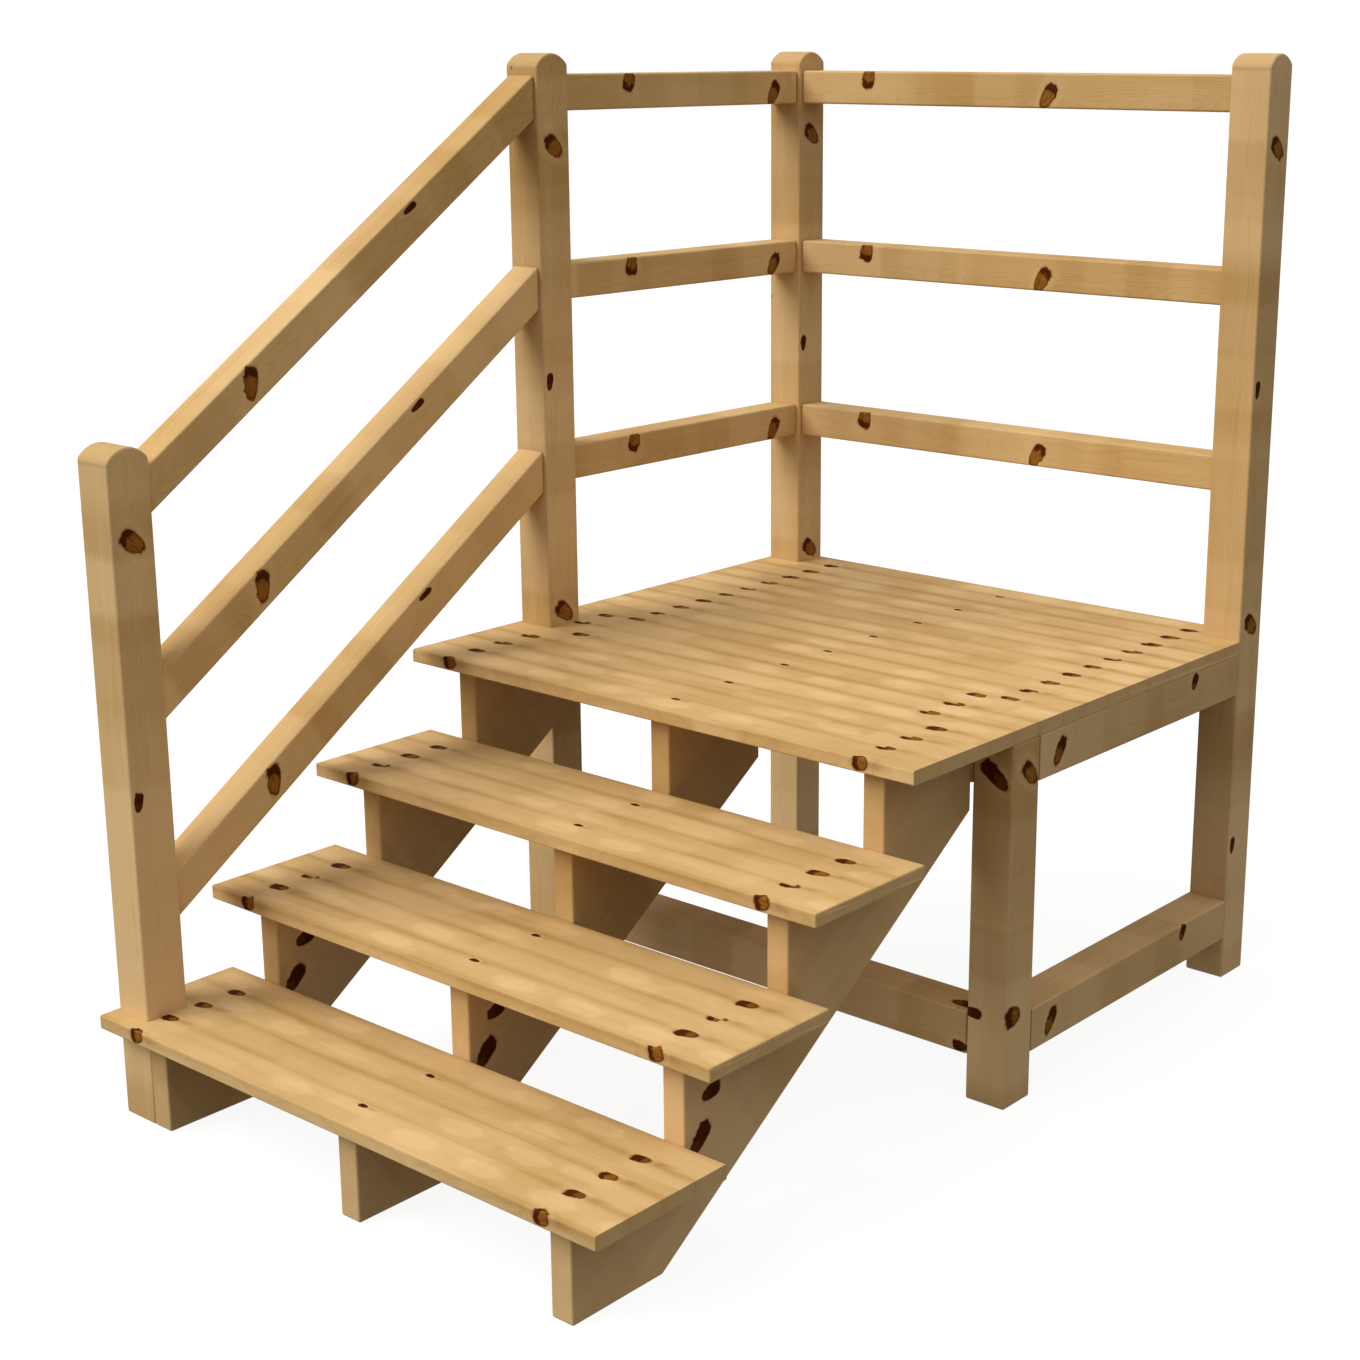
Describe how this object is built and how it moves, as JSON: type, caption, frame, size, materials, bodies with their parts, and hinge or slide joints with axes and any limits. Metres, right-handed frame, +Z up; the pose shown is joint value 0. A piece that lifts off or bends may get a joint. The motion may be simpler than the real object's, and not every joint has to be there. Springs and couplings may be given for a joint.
{
  "type": "timber deck stairs with a railed platform",
  "caption": "Free-standing open-riser timber stair on sawn stringers, climbing to a square platform with post-and-rail guards on the left and back.",
  "frame": {"origin": "on the ground, at the middle of the whole stair's plan", "axes": "+Z up, +X to the right of someone climbing the stair, +Y in the direction of climb, towards the platform"},
  "size_m": [1.2, 1.905, 1.818],
  "materials": {
    "board_pine": "planed and sealed pine, satin",
    "post_pine": "planed and sealed pine, satin",
    "frame_pine": "planed and sealed pine, satin",
    "rail_pine": "planed and sealed pine, satin"
  },
  "bodies": {
    "root": {"left_stringer": "frame_pine", "middle_stringer": "frame_pine", "right_stringer": "frame_pine", "lower_tread": "board_pine", "middle_tread": "board_pine", "upper_tread": "board_pine", "platform_deck": "board_pine", "lower_post": "post_pine", "front_left_post": "post_pine", "back_left_post": "post_pine", "back_right_post": "post_pine", "front_right_leg": "post_pine", "front_joist": "frame_pine", "back_joist": "frame_pine", "left_joist": "frame_pine", "right_joist": "frame_pine", "middle_joist": "frame_pine", "front_lower_rail": "frame_pine", "right_lower_rail": "frame_pine", "stair_rail_top": "rail_pine", "stair_rail_middle": "rail_pine", "stair_rail_bottom": "rail_pine", "left_rail_top": "rail_pine", "left_rail_middle": "rail_pine", "left_rail_bottom": "rail_pine", "back_rail_top": "rail_pine", "back_rail_middle": "rail_pine", "back_rail_bottom": "rail_pine"}
  },
  "joints": []
}
